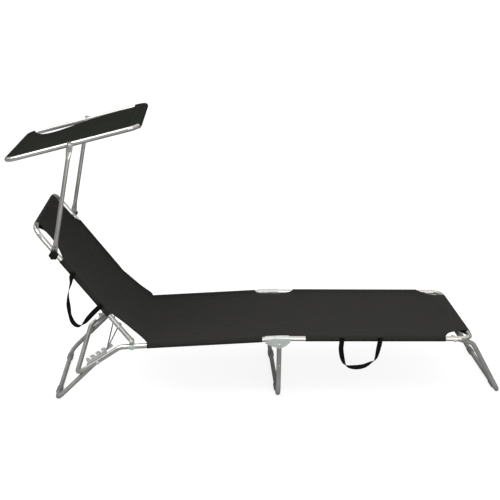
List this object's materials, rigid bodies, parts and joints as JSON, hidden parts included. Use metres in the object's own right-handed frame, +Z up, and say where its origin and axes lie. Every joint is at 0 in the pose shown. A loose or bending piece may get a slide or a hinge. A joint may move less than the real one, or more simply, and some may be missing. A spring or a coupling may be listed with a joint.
{
  "type": "folding sun lounger with canopy",
  "caption": "Three-section folding sun lounger: black sling cloth on bent silver tube frames, folding legs, a ratchet backrest and a tilting cloth canopy on side arms.",
  "frame": {"origin": "middle of the footprint on the floor", "axes": "+X from the head end to the foot end, +Z up, -Y the near side with the carry straps"},
  "size_m": [1.844, 0.6406, 1.0602],
  "materials": {
    "frame_tube": "satin silver-grey paint on steel tube",
    "leg_tube": "matt grey paint on steel tube",
    "zinc": "zinc-plated pressed steel",
    "wire": "plated steel wire",
    "fabric": "matt woven cloth",
    "webbing": "ribbed webbing",
    "black_plastic": "fine-grained black moulding",
    "grey_plastic": "matt grey moulding"
  },
  "bodies": {
    "seat_frame": {"seat_frame_tube": "frame_tube", "ratchet_comb_near": "zinc", "ratchet_comb_far": "zinc", "backrest_hinge_plate_near": "zinc", "backrest_hinge_plate_far": "zinc", "seat_joint_bracket_near": "zinc", "seat_joint_bracket_far": "zinc", "seat_sling": "fabric", "mid_joint_rivet_near": "zinc", "mid_joint_rivet_far": "zinc", "head_leg_rivet_near": "zinc", "head_leg_rivet_far": "zinc"},
    "backrest": {"backrest_tube": "frame_tube", "backrest_sling": "fabric", "backrest_carry_strap": "webbing", "backrest_hinge_rivet_near": "zinc", "backrest_hinge_rivet_far": "zinc", "bail_bush_near": "black_plastic", "bail_bush_far": "black_plastic", "clamp_bolt_near": "zinc", "clamp_bolt_far": "zinc", "arm_saddle_near": "black_plastic", "arm_saddle_far": "black_plastic"},
    "bail": {"bail_wire": "wire"},
    "foot_section": {"foot_frame_tube": "frame_tube", "foot_joint_bracket_near": "zinc", "foot_joint_bracket_far": "zinc", "foot_sling": "fabric", "foot_carry_strap": "webbing", "foot_leg_rivet_near": "zinc", "foot_leg_rivet_far": "zinc"},
    "head_leg": {"head_leg_tube": "leg_tube", "head_leg_shoe_near": "grey_plastic", "head_leg_shoe_far": "grey_plastic"},
    "mid_leg": {"mid_leg_tube": "leg_tube", "mid_leg_shoe_near": "grey_plastic", "mid_leg_shoe_far": "grey_plastic"},
    "foot_leg": {"foot_leg_tube": "leg_tube", "foot_leg_shoe_near": "grey_plastic", "foot_leg_shoe_far": "grey_plastic"},
    "canopy_arms": {"canopy_arm_near": "frame_tube", "canopy_arm_far": "frame_tube"},
    "canopy": {"canopy_frame_tube": "frame_tube", "canopy_cloth": "fabric", "canopy_spacer_near": "black_plastic", "canopy_spacer_far": "black_plastic", "canopy_tilt_rivet_near": "zinc", "canopy_tilt_bolt_far": "zinc"},
    "star_knob_near": {"star_knob_near": "black_plastic"},
    "star_knob_far": {"star_knob_far": "black_plastic"},
    "wing_knob": {"wing_knob_far": "black_plastic"}
  },
  "joints": [
    {"name": "backrest_recline", "type": "hinge", "parent": "seat_frame", "child": "backrest", "pos_m": [-0.49051, 0, 0.24993], "axis": [0, 1, 0], "range_deg": [-52.3, 75]},
    {"name": "bail_swing", "type": "hinge", "parent": "seat_frame", "child": "bail", "pos_m": [-0.5846, 0, 0.21152], "axis": [0, 1, 0], "range_deg": [-83, 60]},
    {"name": "foot_section_fold", "type": "hinge", "parent": "seat_frame", "child": "foot_section", "pos_m": [0.06001, 0, 0.229], "axis": [0, 1, 0], "range_deg": [0, 171]},
    {"name": "mid_leg_fold", "type": "hinge", "parent": "seat_frame", "child": "mid_leg", "pos_m": [0.06001, 0, 0.229], "axis": [0, 1, 0], "range_deg": [0, 84.5]},
    {"name": "foot_leg_fold", "type": "hinge", "parent": "foot_section", "child": "foot_leg", "pos_m": [0.72386, 0, 0.23607], "axis": [0, 1, 0], "range_deg": [0, 127]},
    {"name": "head_leg_fold", "type": "hinge", "parent": "seat_frame", "child": "head_leg", "pos_m": [-0.61848, 0, 0.16816], "axis": [0, 1, 0], "range_deg": [-140, 0]},
    {"name": "canopy_arm_swing", "type": "hinge", "parent": "backrest", "child": "canopy_arms", "pos_m": [-0.75714, 0, 0.5949], "axis": [0, -1, 0], "range_deg": [-60, 75]},
    {"name": "canopy_tilt", "type": "hinge", "parent": "canopy_arms", "child": "canopy", "pos_m": [-0.68319, 0, 0.99004], "axis": [0, -1, 0], "range_deg": [-90, 90]},
    {"name": "star_knob_near_turn", "type": "hinge", "parent": "backrest", "child": "star_knob_near", "pos_m": [-0.75714, 0, 0.5949], "axis": [0, 1, 0], "continuous": true},
    {"name": "star_knob_far_turn", "type": "hinge", "parent": "backrest", "child": "star_knob_far", "pos_m": [-0.75714, 0, 0.5949], "axis": [0, 1, 0], "continuous": true},
    {"name": "wing_knob_turn", "type": "hinge", "parent": "canopy", "child": "wing_knob", "pos_m": [-0.68319, 0, 0.99004], "axis": [0, 1, 0], "continuous": true}
  ],
  "couplings": [
    {"joint": "bail_swing", "follows": "backrest_recline", "ratio": -1.1},
    {"joint": "mid_leg_fold", "follows": "foot_section_fold", "ratio": 0.49},
    {"joint": "foot_leg_fold", "follows": "foot_section_fold", "ratio": 0.74}
  ]
}
